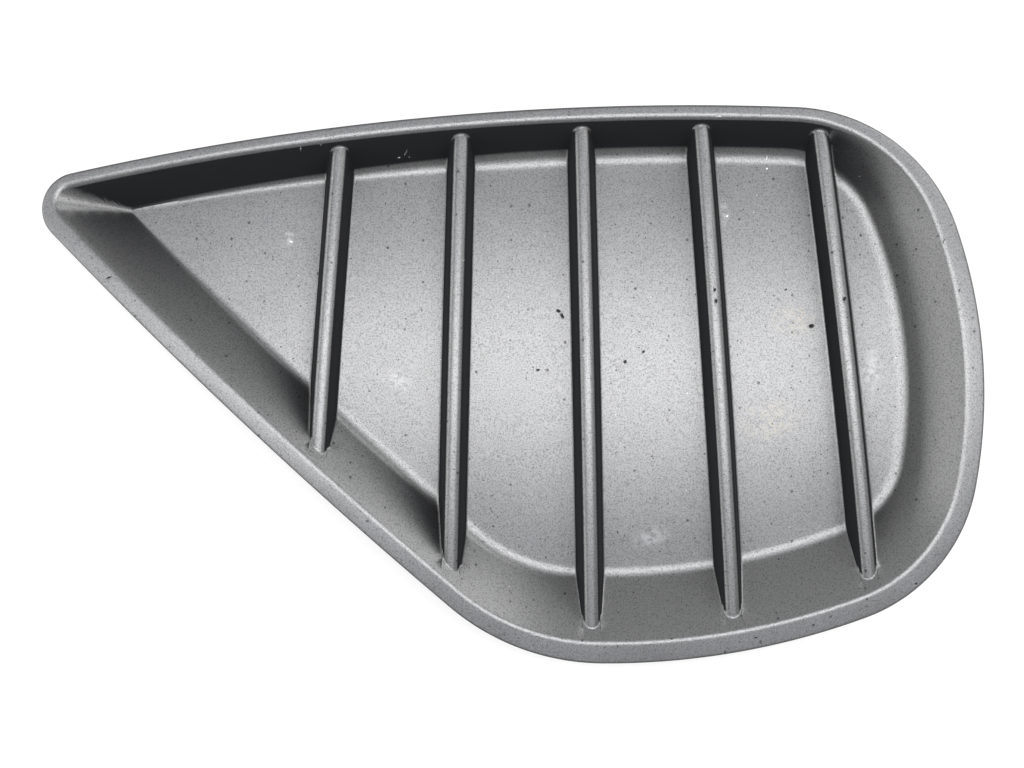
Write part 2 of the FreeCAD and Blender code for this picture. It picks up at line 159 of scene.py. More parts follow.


# The marks that stand out in the photo, each placed and sized one by one.
MARKS = (
    # Dark dents and chips, their darkness painted shade: on the floor and the ribs, then on the flange.
    Mark(Wear.DENT, 15.9, 24.9, 2.0, 0.9, -35.0, 0.35),
    Mark(Wear.DENT, 17.2, 23.2, 2.5, 0.8, -66.0, 0.35),
    Mark(Wear.DENT, 102.5, 19.9, 2.1, 1.6, 0.0, 0.30),
    Mark(Wear.DENT, 93.6, 32.3, 1.1, 0.8, 20.0, 0.15),
    Mark(Wear.DENT, 38.5, 7.6, 1.2, 1.5, 0.0, 0.25),
    Mark(Wear.DENT, 44.7, 11.0, 1.1, 1.0, 0.0, 0.20),
    Mark(Wear.DENT, 8.9, 4.8, 1.6, 0.8, 0.0, 0.20),
    Mark(Wear.DENT, 68.0, 31.6, 1.5, 0.9, 80.0, 0.30),
    Mark(Wear.DENT, 68.4, 27.8, 1.9, 1.0, 95.0, 0.35),
    Mark(Wear.DENT, 112.0, 28.7, 2.0, 1.2, 70.0, 0.30),
    Mark(Wear.DENT, 82.3, -85.5, 1.1, 0.8, 0.0, 0.20),
    Mark(Wear.DENT, 136.8, -67.6, 1.3, 0.8, 30.0, 0.20),
    Mark(Wear.DENT, 146.0, 48.4, 2.4, 0.35, 60.0, 0.10),
    Mark(Wear.DENT, 151.2, 31.8, 1.8, 0.35, 75.0, 0.10),
    Mark(Wear.DENT, -135.6, 35.9, 2.6, 0.6, 20.0, 0.20),
    Mark(Wear.DENT, 55.0, 92.2, 1.2, 0.4, 0.0, 0.10),
    # Pale specks: under the upper wall, then the loose groups in the bays.
    Mark(Wear.SPECK, -36.0, 78.6, 2.6, 0.5, 60.0),
    Mark(Wear.SPECK, -35.2, 77.4, 1.2, 0.6, -30.0),
    Mark(Wear.SPECK, -38.4, 77.0, 1.0, 0.4, 10.0),
    Mark(Wear.SPECK, -71.2, 79.2, 2.0, 0.5, 85.0),
    Mark(Wear.SPECK, 87.6, 77.8, 1.8, 0.5, 80.0),
    Mark(Wear.SPECK, 87.6, 74.0, 0.9, 0.7, 0.0),
    Mark(Wear.SPECK, 69.6, 90.2, 3.0, 0.45, 4.0),
    Mark(Wear.SPECK, -77.2, 51.4, 1.1, 0.7, 40.0),
    Mark(Wear.SPECK, -75.4, 48.6, 1.3, 0.6, -20.0),
    Mark(Wear.SPECK, -77.8, 55.2, 0.8, 0.5, 0.0),
    Mark(Wear.SPECK, -72.0, 47.6, 0.9, 0.5, 30.0),
    Mark(Wear.SPECK, -64.4, 80.6, 0.8, 0.6, 0.0),
    Mark(Wear.SPECK, -16.2, 41.4, 1.1, 0.6, 20.0),
    Mark(Wear.SPECK, -14.8, 41.0, 0.8, 0.7, 0.0),
    Mark(Wear.SPECK, 72.9, 62.2, 0.7, 1.4, 0.0),
    Mark(Wear.SPECK, 73.6, 57.4, 1.0, 0.7, 30.0),
    Mark(Wear.SPECK, 74.4, 54.8, 0.8, 0.6, 0.0),
    # Rubbed spots on the floor, on a rib and on the lower wall.
    Mark(Wear.SCUFF, -38.5, 1.5, 15.0, 9.0, -20.0),
    Mark(Wear.SCUFF, 47.5, -52.0, 17.0, 9.0, 15.0),
    Mark(Wear.SCUFF, 123.2, 5.0, 9.0, 20.0, 0.0),
    Mark(Wear.SCUFF, -76.4, 49.8, 7.0, 8.0, 0.0),
    Mark(Wear.SCUFF, 72.6, 58.5, 5.0, 13.0, 0.0),
    Mark(Wear.SCUFF, 113.7, 5.1, 1.4, 4.4, -8.0),
    Mark(Wear.SCUFF, 92.0, -76.0, 9.0, 4.0, 10.0),
    # Faint yellowish stains.
    Mark(Wear.STAIN, -19.4, 31.0, 1.4, 2.2, 0.0),
    Mark(Wear.STAIN, 88.0, -12.5, 30.0, 18.0, 0.0),
    Mark(Wear.STAIN, 96.0, 22.0, 20.0, 16.0, 0.0),
)


@dataclass(frozen=True)
class SideShape:
    """One long side of the outline and the corner that it ends in, in metres.

    The side is an arc through a point, facing a bearing in degrees there. The flange and the wall
    have their width on the plan. The corner's radius is given at the outer edge, at the rim and at
    the floor.
    """

    point: tuple[float, float]
    facing: float
    radius: float
    flange: float
    wall: float
    outer_corner: float
    rim_corner: float
    floor_corner: float

    @property
    def centre(self) -> tuple[float, float]:
        """Centre of the side's arc.

        Returns:
            Its x and y.
        """
        bearing = math.radians(self.facing)
        return (
            self.point[0] - self.radius * math.cos(bearing),
            self.point[1] - self.radius * math.sin(bearing),
        )


@dataclass(frozen=True)
class Arc:
    """One anticlockwise arc of an outline, between two bearings in radians."""

    centre: tuple[float, float]
    radius: float
    start: float
    end: float

    def sweep(self) -> float:
        """Angle from the start to the end."""
        return (self.end - self.start) % (2 * math.pi)

    def length(self) -> float:
        """Length along the arc."""
        return self.radius * self.sweep()

    def points(self, count: int) -> np.ndarray:
        """Points along the arc without its end.

        Args:
            count: number of points.

        Returns:
            The points, as rows of x and y.
        """
        bearing = self.start + self.sweep() * np.arange(count) / count
        x = self.centre[0] + self.radius * np.cos(bearing)
        y = self.centre[1] + self.radius * np.sin(bearing)
        return np.stack((x, y), axis=1)


def bearing_from(start: tuple[float, float], end: tuple[float, float]) -> float:
    """Bearing in radians from one point to another."""
    return math.atan2(end[1] - start[1], end[0] - start[0])


@dataclass(frozen=True)
class Plan:
    """Tear-drop plan of the part: four long arcs joined by four rounded corners."""

    right: SideShape = SideShape(
        point=(0.160, -0.0035),
        facing=0.0,
        radius=0.1835,
        flange=0.0064,
        wall=0.0191,
        outer_corner=0.0585,
        rim_corner=0.052,
        floor_corner=0.032,
    )
    top: SideShape = SideShape(
        point=(0.070, 0.0942),
        facing=90.0,
        radius=1.0827,
        flange=0.0042,
        wall=0.0106,
        outer_corner=0.012,
        rim_corner=0.0055,
        floor_corner=0.0012,
    )
    slant: SideShape = SideShape(
        point=(-0.0756, -0.0258),
        facing=-132.5,
        radius=2.313,
        flange=0.0062,
        wall=0.017,
        outer_corner=0.080,
        rim_corner=0.074,
        floor_corner=0.055,
    )
    bottom: SideShape = SideShape(
        point=(0.0335, -0.094),
        facing=-90.0,
        radius=0.258,
        flange=0.0070,
        wall=0.0225,
        outer_corner=0.057,
        rim_corner=0.051,
        floor_corner=0.030,
    )
    least_corner: float = 0.0003

    def side(self, side: Side) -> SideShape:
        """Sizes of one long side."""
        return getattr(self, side.name.lower())

    def sizes(self, name: str) -> np.ndarray:
        """One size of all four sides, in their order."""
        return np.array([getattr(self.side(side), name) for side in Side])

    def corner_centre(self, side: Side, insets: np.ndarray, corners: np.ndarray) -> tuple:
        """Centre of the corner that follows a side, where both sides are drawn in.

        Args:
            side: the side before the corner.
            insets: how far each side is drawn in.
            corners: radius of each corner.

        Returns:
            The centre's x and y.
        """
        first, second = self.side(side), self.side(side.following)
        reach_a = first.radius - insets[side.value] - corners[side.value]
        reach_b = second.radius - insets[side.following.value] - corners[side.value]
        span_x = second.centre[0] - first.centre[0]
        span_y = second.centre[1] - first.centre[1]
        gap = math.hypot(span_x, span_y)
        ahead_x, ahead_y = span_x / gap, span_y / gap
        along = (reach_a ** 2 - reach_b ** 2 + gap ** 2) / (2 * gap)
        across = np.sqrt(reach_a ** 2 - along ** 2)
        return (
            first.centre[0] + ahead_x * along - ahead_y * across,
            first.centre[1] + ahead_y * along + ahead_x * across,
        )

    def depth_inside(
        self, x: np.ndarray, y: np.ndarray, insets: np.ndarray, corners: np.ndarray
    ) -> np.ndarray:
        """Distance of points from a drawn-in outline, positive inside it.

        Args:
            x: the points' x.
            y: the points' y.
            insets: how far each side is drawn in.
            corners: radius of each corner.

        Returns:
            One distance for each point.
        """
        depth = np.full(np.shape(x), np.inf)
        for side in Side:
            shape = self.side(side)
            reach = np.hypot(x - shape.centre[0], y - shape.centre[1])
            depth = np.minimum(depth, shape.radius - insets[side.value] - reach)
        for side in Side:
            start = self.side(side).centre
            end = self.side(side.following).centre
            middle_x, middle_y = self.corner_centre(side, insets, corners)
            away_x, away_y = x - middle_x, y - middle_y
            past_start = (middle_x - start[0]) * away_y - (middle_y - start[1]) * away_x >= 0
            before_end = away_x * (middle_y - end[1]) - away_y * (middle_x - end[0]) >= 0
            round_depth = corners[side.value] - np.hypot(away_x, away_y)
            depth = np.where(past_start & before_end, round_depth, depth)
        return depth

    def arcs(self, insets: np.ndarray, corners: np.ndarray) -> list[Arc]:
        """Arcs of a drawn-in outline, anticlockwise.

        Args:
            insets: how far each side is drawn in.
            corners: radius of each corner.

        Returns:
            Each side, followed by its corner.
        """
        centres = [self.corner_centre(side, insets, corners) for side in Side]
        arcs = []
        for side in Side:
            place = side.value
            shape = self.side(side)
            turn = bearing_from(shape.centre, centres[place])
            start = bearing_from(shape.centre, centres[place - 1])
            end = bearing_from(self.side(side.following).centre, centres[place])
            arcs.append(Arc(shape.centre, shape.radius - insets[place], start, turn))
            arcs.append(Arc(centres[place], corners[place], turn, end))
        return arcs

    def trace(self, insets: np.ndarray, corners: np.ndarray, steps: list[int]) -> np.ndarray:
        """Points round a drawn-in outline, anticlockwise, as rows of x and y."""
        arcs = self.arcs(insets, corners)
        return np.concatenate([arc.points(count) for arc, count in zip(arcs, steps)])

    def steps(self, pitch: float, least: int) -> list[int]:
        """Points on every arc of the outer edge, for a pitch and a least count."""
        arcs = self.arcs(np.zeros(len(Side)), self.sizes("outer_corner"))
        return [max(least, round(arc.length() / pitch)) for arc in arcs]


@dataclass(frozen=True)
class Crown:
    """Doubly curved face that the part follows, like the bumper round it: its two radii."""

    along: float = 0.900
    across: float = 0.430

    def height(self, x: np.ndarray, y: np.ndarray, drop: np.ndarray) -> np.ndarray:
        """Height of the crowned face, lowered by a drop square to it, over points of the plan."""
        ring = self.across - self.along + np.sqrt((self.along - drop) ** 2 - x ** 2)
        return np.sqrt(ring ** 2 - y ** 2) - self.across


@dataclass(frozen=True)
class Dish:
    """One face of the flange, walls and floor: the front, or the back one skin behind it."""

    face: Face
    plan: Plan = Plan()
    crown: Crown = Crown()
    depth: float = 0.017
    skin: float = 0.0025
    rim_round: float = 0.0033
    back_rim_round: float = 0.0006
    edge_round: float = 0.0008
    floor_round: float = 0.0080
    tip_round: float = 0.0010
    tip_reach: float = 0.130
    lowest_share: float = -0.8
    highest_share: float = 2.2
    share_step: float = 0.01
    halvings: int = 26

    def behind(self) -> float:
        """How far this face lies behind the front."""
        return 0.0 if self.face is Face.FRONT else self.skin

    def wall_angles(self) -> np.ndarray:
        """Slope of each side's wall."""
        return np.arctan2(self.depth, self.plan.sizes("wall"))

    def ring(self, shares: np.ndarray) -> tuple[np.ndarray, np.ndarray]:
        """Outline of the walls at a share of the way from the rim to the floor.

        Args:
            shares: the share on each of the four sides.

        Returns:
            Insets of the sides and radii of the corners.
        """
        rim = self.plan.sizes("flange") - self.behind() * np.tan(self.wall_angles() / 2)
        wall = self.plan.sizes("wall")
        top, foot = self.plan.sizes("rim_corner"), self.plan.sizes("floor_corner")
        lift = self.behind()
        if np.ndim(shares) == 2:
            rim, wall, top, foot = (size[:, None] for size in (rim, wall, top, foot))
        shared = (shares + np.roll(shares, -1, axis=0)) / 2
        corners = np.maximum(top + shared * (foot - top) + lift, self.plan.least_corner)
        return rim + shares * wall, corners

    def share_at(self, x: np.ndarray, y: np.ndarray) -> tuple[np.ndarray, np.ndarray]:
        """Where points lie between the rim and the floor, by halving.

        Args:
            x: the points' x.
            y: the points' y.

        Returns:
            The share down the wall, 0 at the rim and 1 at the floor, and the wall's width there.
        """
        low = np.full(x.shape, self.lowest_share)
        high = np.full(x.shape, self.highest_share)
        for _ in range(self.halvings):
            middle = (low + high) / 2
            within = self.depth_past(x, y, middle) > 0
            low = np.where(within, middle, low)
            high = np.where(within, high, middle)
        share = (low + high) / 2
        before = self.depth_past(x, y, share - self.share_step)
        after = self.depth_past(x, y, share + self.share_step)
        return share, np.maximum((before - after) / (2 * self.share_step), self.skin)

    def depth_past(self, x: np.ndarray, y: np.ndarray, share: np.ndarray) -> np.ndarray:
        """Distance of points inside the outline that belongs to each point's own share."""
        return self.plan.depth_inside(x, y, *self.ring(np.tile(share, (len(Side), 1))))

    def drop_at(self, x: np.ndarray, y: np.ndarray) -> np.ndarray:
        """Drop of this face below the crown, with its roundings.

        Args:
            x: the points' x.
            y: the points' y.

        Returns:
            One drop for each point.
        """
        share, width = self.share_at(x, y)
        slope = np.arctan2(self.depth, width)
        rim_round = self.rim_round if self.face is Face.FRONT else self.back_rim_round
        rim_reach = rim_round * np.tan(slope / 2)
        from_rim = share * width + rim_reach
        rim_drop = rim_round - np.sqrt(np.maximum(rim_round ** 2 - from_rim ** 2, 0))

        tip_x, tip_y = self.plan.corner_centre(Side.TOP, *self.ring(np.ones(len(Side))))
        along = np.clip(np.hypot(x - tip_x, y - tip_y) / self.tip_reach, 0, 1)
        floor_round = self.tip_round + (self.floor_round - self.tip_round) * along + self.behind()
        floor_reach = floor_round * np.tan(slope / 2)
        to_floor = (1 - share) * width + floor_reach
        floor_rise = floor_round - np.sqrt(np.maximum(floor_round ** 2 - to_floor ** 2, 0))

        below_rim = rim_reach * (1 + np.cos(slope))
        above_floor = floor_reach * (1 + np.cos(slope))
        drop = np.select(
            [from_rim <= 0, from_rim < below_rim, to_floor <= 0, to_floor < above_floor],
            [0.0, rim_drop, self.depth, self.depth - floor_rise],
            self.depth * share,
        )
        return drop + self.behind()

    def height(self, x: np.ndarray, y: np.ndarray) -> np.ndarray:
        """Height of this face, without ribs, over points of the plan."""
        return self.crown.height(x, y, self.drop_at(x, y))

    def edge_drop(self, x: np.ndarray, y: np.ndarray) -> np.ndarray:
        """Drop of the softened outer edge of the front.

        Args:
            x: the points' x.
            y: the points' y.

        Returns:
            One drop for each point.
        """
        within = self.plan.depth_inside(x, y, np.zeros(len(Side)), self.plan.sizes("outer_corner"))
        left = self.edge_round - np.clip(within, 0, self.edge_round)
        return self.edge_round - np.sqrt(self.edge_round ** 2 - left ** 2)


@dataclass(frozen=True)
class RibLine:
    """Where one rib lies: its place on the length, its turn and its tilt along the crown."""

    x: float
    fan: float
    tilt: float


@dataclass(frozen=True)
class Ribs:
    """Five round-topped, drafted ribs that follow the crown and are hollow from behind.

    Every rib points at one far point, fan_x and fan_y. Along a rib the mesh has rows at the coarse
    pitch, and at the fine one from fine_before inside its ends to fine_after past them.
    """

    dish: Dish
    count: int = 5
    first_x: float = -0.0633
    pitch: float = 0.0444
    fan_x: float = 0.005
    fan_y: float = 1.008
    height: float = 0.0135
    crest: float = 0.0031
    draft: float = math.radians(8)
    foot: float = 0.0010
    skin: float = 0.0021
    deepest: float = 0.040
    slope_step: float = 0.00002
    flattest: float = 0.05
    coarse: float = 0.0019
    fine: float = 0.0003
    fine_before: float = 0.0030
    fine_after: float = 0.0015
    longest: float = 0.088
    front_bends: int = 9
    back_bends: int = 4
    foot_share: float = 1.02
    foot_parts: tuple[float, ...] = (1.0, 0.75, 0.5, 0.25, 0.0)
    foot_rounds: int = 12
    widest_share: float = 1.2

    def lines(self) -> list[RibLine]:
        """Place of every rib.

        Returns:
            The ribs from left to right.
        """
        found = []
        for number in range(self.count):
            x = self.first_x + number * self.pitch
            fan = math.atan2(x - self.fan_x, self.fan_y)
            found.append(RibLine(x, fan, x * math.sin(fan) / self.dish.crown.along))
        return found

    def crest_radius(self) -> float:
        """Radius of the section's round top on this face."""
        return self.crest if self.dish.face is Face.FRONT else self.crest - self.skin

    def local(self, line: RibLine, x: np.ndarray, y: np.ndarray) -> tuple[np.ndarray, np.ndarray]:
        """Distances of points across and along a rib."""
        turn_x, turn_y = math.cos(line.fan), math.sin(line.fan)
        return (x - line.x) * turn_x + y * turn_y, y * turn_x - (x - line.x) * turn_y

    def plan_point(
        self, line: RibLine, across: np.ndarray, along: np.ndarray
    ) -> tuple[np.ndarray, np.ndarray]:
        """Plan position of points given across and along a rib."""
        turn_x, turn_y = math.cos(line.fan), math.sin(line.fan)
        return line.x + across * turn_x - along * turn_y, across * turn_y + along * turn_x

    def bar_height(self, line: RibLine, x: np.ndarray, y: np.ndarray) -> np.ndarray:
        """Height of one rib's own surface, carried on below the floor.

        Args:
            line: where the rib lies.
            x: the points' x.
            y: the points' y.

        Returns:
            One height for each point.
        """
        across, along = self.local(line, x, y)
        across = np.abs(across)
        radius = self.crest_radius()
        touch = radius * math.cos(self.draft)
        centre = self.dish.depth - self.height + self.crest
        arc = np.sqrt(np.maximum(radius ** 2 - across ** 2, 0))
        side = radius * math.sin(self.draft) - (across - touch) / math.tan(self.draft)
        section = np.where(across < touch, arc, side) - centre
        section = np.maximum(section, -self.deepest)
        crown = self.dish.crown
        apex = crown.height(np.float64(line.x), np.float64(0), np.float64(0))
        swept = np.sqrt((crown.across + section) ** 2 - along ** 2) - crown.across
        return apex + swept + line.tilt * along

    def rise(self, x: np.ndarray, y: np.ndarray) -> tuple[np.ndarray, np.ndarray]:
        """Height of the highest rib over the plain dish, carried on below it.

        Args:
            x: the points' x.
            y: the points' y.

        Returns:
            The plain dish's height, and the rib's rise over it.
        """
        plain = self.dish.height(x, y)
        return plain, np.max([self.bar_height(line, x, y) for line in self.lines()], axis=0) - plain

    def with_foot(self, rise: np.ndarray, steepness: np.ndarray) -> np.ndarray:
        """Rise of the ribs with the small rounding where they meet the floor and the walls.

        Args:
            rise: rise of the bare rib over the dish.
            steepness: how fast that rise grows over the plan.

        Returns:
            The rounded rise.
        """
        angle = np.arctan(steepness)
        reach = self.foot * np.tan(angle / 2)
        outside = -rise / steepness
        rounding = self.foot - np.sqrt(np.maximum(self.foot ** 2 - (reach - outside) ** 2, 0))
        return np.select([outside >= reach, outside > -reach * np.cos(angle)], [0.0, rounding], rise)

    def surface(self, x: np.ndarray, y: np.ndarray) -> np.ndarray:
        """Height of the whole face with its ribs, or with their hollows from behind.

        Args:
            x: the points' x.
            y: the points' y.

        Returns:
            One height for each point.
        """
        plain, rise = self.rise(x, y)
        if self.dish.face is Face.BACK:
            return plain + np.maximum(rise, 0)
        step = self.slope_step
        across = (self.rise(x + step, y)[1] - rise) / step
        along = (self.rise(x, y + step)[1] - rise) / step
        steepness = np.maximum(np.hypot(across, along), self.flattest)
        dents = np.sum([mark.drop(x, y) for mark in MARKS if mark.depth], axis=0)
        return plain + self.with_foot(rise, steepness) - self.dish.edge_drop(x, y) - dents

    def base_distance(self) -> float:
        """Distance from the rib's middle to the line where its side meets the floor.

        Returns:
            The distance on the floor of this face.
        """
        radius = self.crest_radius()
        rise = self.height - self.crest + radius * math.sin(self.draft) + self.dish.behind()
        return radius * math.cos(self.draft) + rise * math.tan(self.draft)

    def crest_distances(self) -> list[float]:
        """Where the mesh has a line on the round top.

        Returns:
            Distances from the rib's middle, ending where the round top meets the drafted side.
        """
        steep = math.pi / 2 - self.draft
        bends = self.front_bends if self.dish.face is Face.FRONT else self.back_bends
        return [self.crest_radius() * math.sin(steep * bend / bends) for bend in range(1, bends + 1)]

    def foot_offsets(self) -> list[float]:
        """Where the mesh has a line in the rounding at a side's foot.

        Returns:
            Distances from the line where the bare side ends.
        """
        if self.dish.face is Face.BACK:
            return [0.0]
        steep = math.pi / 2 - self.draft
        reach = self.foot * math.tan(steep / 2)
        return [reach - self.foot * math.sin(steep * part) for part in self.foot_parts]

    def ends(self, line: RibLine) -> tuple[float, float]:
        """Where the rib's middle line runs into the walls.

        Args:
            line: where the rib lies.

        Returns:
            Distances along the rib, of its lower and its upper end.
        """
        along = np.arange(-self.longest, self.longest, self.fine / 4)
        x, y = self.plan_point(line, np.zeros_like(along), along)
        free = along[self.dish.height(x, y) < self.bar_height(line, x, y)]
        return free.min(), free.max()

    def stations(self, line: RibLine) -> np.ndarray:
        """Places along a rib at which the mesh has a row, close together at both ends.

        Args:
            line: where the rib lies.

        Returns:
            Distances along the rib.
        """
        low, high = self.ends(line)
        fine = np.arange(-self.fine_after, self.fine_before, self.fine)
        inner = low + self.fine_before, high - self.fine_before
        middle = np.linspace(*inner, round((inner[1] - inner[0]) / self.coarse))
        return np.concatenate((low + fine, middle, (high - fine)[::-1]))

    def mesh_lines(self) -> list[np.ndarray]:
        """Plan lines along every rib that the mesh follows.

        Returns:
            The lines, each as rows of x and y.
        """
        lines = []
        for line in self.lines():
            along = self.stations(line)
            lines.append(np.stack(self.plan_point(line, np.zeros_like(along), along), axis=1))
            for hand in (-1, 1):
                foot = self.side_foot(line, hand, along)
                kept = np.abs(foot) > self.crest_radius() * self.foot_share
                touch = hand * self.crest_distances()[-1]
                rows = [(np.full_like(along, hand * away), along) for away in self.crest_distances()]
                rows.append(((foot[kept] + touch) / 2, along[kept]))
                rows += [(foot[kept] + hand * offset, along[kept]) for offset in self.foot_offsets()]
                lines += [np.stack(self.plan_point(line, *row), axis=1) for row in rows]
        return lines

    def side_foot(self, line: RibLine, hand: int, along: np.ndarray) -> np.ndarray:
        """Distance from the rib's middle at which its side meets the floor or a wall.

        Args:
            line: where the rib lies.
            hand: -1 for the left side, 1 for the right.
            along: places along the rib.

        Returns:
            One distance for each place, 0 past the rib's end.
        """
        across = np.full(along.shape, hand * self.base_distance())
        for _ in range(self.foot_rounds):
            x, y = self.plan_point(line, across, along)
            rise = self.bar_height(line, x, y) - self.dish.height(x, y)
            moved = np.abs(across) + np.clip(rise, -self.crest, self.crest) * math.tan(self.draft)
            across = hand * np.clip(moved, 0, self.base_distance() * self.widest_share)
        return across

    def clear_of(self, x: np.ndarray, y: np.ndarray, gap: float) -> np.ndarray:
        """Whether points of the plan lie off every rib by a gap."""
        reach = self.base_distance() + self.foot + gap
        return np.all([np.abs(self.local(line, x, y)[0]) > reach for line in self.lines()], axis=0)


@dataclass
class FaceMesh:
    """Triangles of one face of the moulding, over the plan.

    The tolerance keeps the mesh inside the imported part's box. Points closer than merge_within
    become one.
    """

    ribs: Ribs
    pitch: float = 0.0016
    least_steps: int = 14
    edge_bends: int = 5
    front_bends: tuple[int, int] = (8, 9)
    back_bends: tuple[int, int] = (2, 6)
    wall_parts: tuple[float, ...] = (0.25, 0.5, 0.75)
    floor_pitch: float = 0.005
    floor_gap: float = 0.002
    wall_gap: float = 0.006
    tolerance: float = 0.00001
    merge_within: float = 0.0000001
    points: np.ndarray = field(init=False)
    triangles: list[tuple[int, ...]] = field(init=False)
    edge: list[int] = field(init=False)

    def rings(self) -> list[np.ndarray]:
        """Closed plan lines round the dish.

        Returns:
            The lines as rows of x and y, the outer edge first.
        """
        dish = self.ribs.dish
        plan = dish.plan
        steps = plan.steps(self.pitch, self.least_steps)
        outer = plan.sizes("outer_corner")
        insets = [self.tolerance]
        if dish.face is Face.FRONT:
            for bend in range(1, self.edge_bends + 1):
                turned_in = 1 - math.cos(math.pi / 2 * bend / self.edge_bends)
                insets.append(self.tolerance + dish.edge_round * turned_in)
        rings = [plan.trace(np.full(len(Side), inset), outer - inset, steps) for inset in insets]
        for shares in self.wall_shares():
            ring_insets, corners = dish.ring(shares)
            rings.append(plan.trace(ring_insets, corners, steps))
        return rings

    def wall_shares(self) -> list[np.ndarray]:
        """Where the mesh has a ring between the rim and the floor.

        Returns:
            Shares of the way down each side's wall, one array for each ring.
        """
        dish = self.ribs.dish
        front = dish.face is Face.FRONT
        angle = dish.wall_angles()
        wall = dish.plan.sizes("wall")
        rim_round = dish.rim_round if front else dish.back_rim_round
        floor_round = dish.floor_round + dish.behind()
        rim_reach = rim_round * np.tan(angle / 2)
        floor_reach = floor_round * np.tan(angle / 2)
        rim_bends, floor_bends = self.front_bends if front else self.back_bends
        shares = []
        for bend in range(rim_bends + 1):
            shares.append((rim_round * np.sin(angle * bend / rim_bends) - rim_reach) / wall)
        for part in self.wall_parts:
            start = shares[rim_bends]
            end = 1 - floor_reach * np.cos(angle) / wall
            shares.append(start + (end - start) * part)
        for bend in range(floor_bends, -1, -1):
            shares.append(1 - (floor_round * np.sin(angle * bend / floor_bends) - floor_reach) / wall)
        return shares

    def floor_points(self) -> np.ndarray:
        """Loose points over the floor, in staggered rows, clear of the walls and the ribs.

        Returns:
            The points, as rows of x and y.
        """
        dish = self.ribs.dish
        x_line = np.arange(cad_low.x, cad_high.x, self.floor_pitch)
        y_line = np.arange(cad_low.y, cad_high.y, self.floor_pitch * math.sqrt(3) / 2)
        x, y = np.meshgrid(x_line, y_line)
        x = x + (np.arange(len(y_line)) % 2)[:, None] * self.floor_pitch / 2
        x, y = x.ravel(), y.ravel()
        within = dish.plan.depth_inside(x, y, *dish.ring(np.ones(len(Side)))) > self.wall_gap
        keep = within & self.ribs.clear_of(x, y, self.floor_gap)
        return np.stack((x[keep], y[keep]), axis=1)

    def build(self) -> None:
        """Divide the plan into triangles along all its lines and lift every point to the face."""
        points, edges = [], []
        for ring in self.rings():
            start = len(points)
            count = len(ring)
            points += [Vector(point) for point in ring]
            edges += [(start + n, start + (n + 1) % count) for n in range(count)]
            if start == 0:
                rim_count = count
        for line in self.ribs.mesh_lines():
            start = len(points)
            points += [Vector(point) for point in line]
            edges += [(start + n, start + n + 1) for n in range(len(line) - 1)]
        points += [Vector(point) for point in self.floor_points()]
        if self.ribs.dish.face is Face.FRONT:
            points += [Vector(point) for mark in MARKS if mark.depth for point in mark.mesh_points()]
        made = delaunay_2d_cdt(points, edges, [], INSIDE_ONLY, self.merge_within)
        flat, _, faces, origins = made[:4]
        place_of = {origin: place for place, group in enumerate(origins) for origin in group}
        self.edge = [place_of[n] for n in range(rim_count)]
        x = np.array([point.x for point in flat], float)
        y = np.array([point.y for point in flat], float)
        self.points = np.stack((x, y, self.ribs.surface(x, y)), axis=1)
        self.triangles = [tuple(face) for face in faces]


@dataclass(frozen=True)
class Hook:
    """Place of one snap hook: its side and its x there, or its y on the right side."""

    side: Side
    x: float | None = None
    y: float | None = None


@dataclass(frozen=True)
class Hooks:
    """Snap hooks behind the flange, which catch the inner edge of the bumper's opening."""

    crown: Crown = Crown()
    plan: Plan = Plan()
    places: tuple[Hook, ...] = (
        Hook(Side.TOP, x=-0.084),
        Hook(Side.TOP, x=0.048),
        Hook(Side.RIGHT, y=0.004),
        Hook(Side.BOTTOM, x=0.052),
        Hook(Side.SLANT, x=-0.108),
        Hook(Side.SLANT, x=-0.044),
    )
    inset: float = 0.0024
    width: float = 0.012
    thickness: float = 0.0016
    grip: float = 0.0030
    catch: float = 0.0012
    nose: float = 0.00355
    blunt_share: float = 0.2
    root: float = 0.0012
    skin: float = Dish.skin

    def profile(self) -> list[tuple[float, float]]:
        """Section of a hook.

        Returns:
            Points as distance outward and height over the flange's underside.
        """
        deep = self.grip + self.nose
        return [
            (-self.thickness, self.root),
            (-self.thickness, -deep),
            (0.0, -deep),
            (self.catch, -self.grip - self.nose * self.blunt_share),
            (self.catch, -self.grip),
            (0.0, -self.grip),
            (0.0, self.root),
        ]

    def foot(self, hook: Hook) -> tuple[np.ndarray, float]:
        """Where a hook leaves the flange, and the bearing that it faces.

        Args:
            hook: the hook's place.

        Returns:
            The point and the bearing in radians.
        """
        shape = self.plan.side(hook.side)
        reach = shape.radius - self.inset
        centre_x, centre_y = shape.centre
        if hook.x is not None:
            rise = math.sqrt(reach ** 2 - (hook.x - centre_x) ** 2)
            x, y = hook.x, centre_y + (rise if hook.side is Side.TOP else -rise)
        else:
            x, y = centre_x + math.sqrt(reach ** 2 - (hook.y - centre_y) ** 2), hook.y
        z = float(self.crown.height(np.float64(x), np.float64(y), self.skin))
        return np.array((x, y, z)), math.atan2(y - centre_y, x - centre_x)

    def build(self) -> bpy.types.Object:
        """Build all hooks as one object.

        Returns:
            The object, linked to the scene.
        """
        vertices, faces = [], []
        profile = self.profile()
        count = len(profile)
        for hook in self.places:
            foot, bearing = self.foot(hook)
            outward = np.array((math.cos(bearing), math.sin(bearing), 0))
            beside = np.array((-math.sin(bearing), math.cos(bearing), 0))
            upward = np.array((0, 0, 1))
            start = len(vertices)
            for half in (-self.width / 2, self.width / 2):
                vertices += [foot + outward * out + beside * half + upward * up for out, up in profile]
            faces.append(tuple(start + n for n in range(count)))
            faces.append(tuple(start + count + n for n in reversed(range(count))))
            for n in range(count):
                after = (n + 1) % count
                faces.append((start + n, start + count + n, start + count + after, start + after))
        return new_object("hooks", vertices, faces)


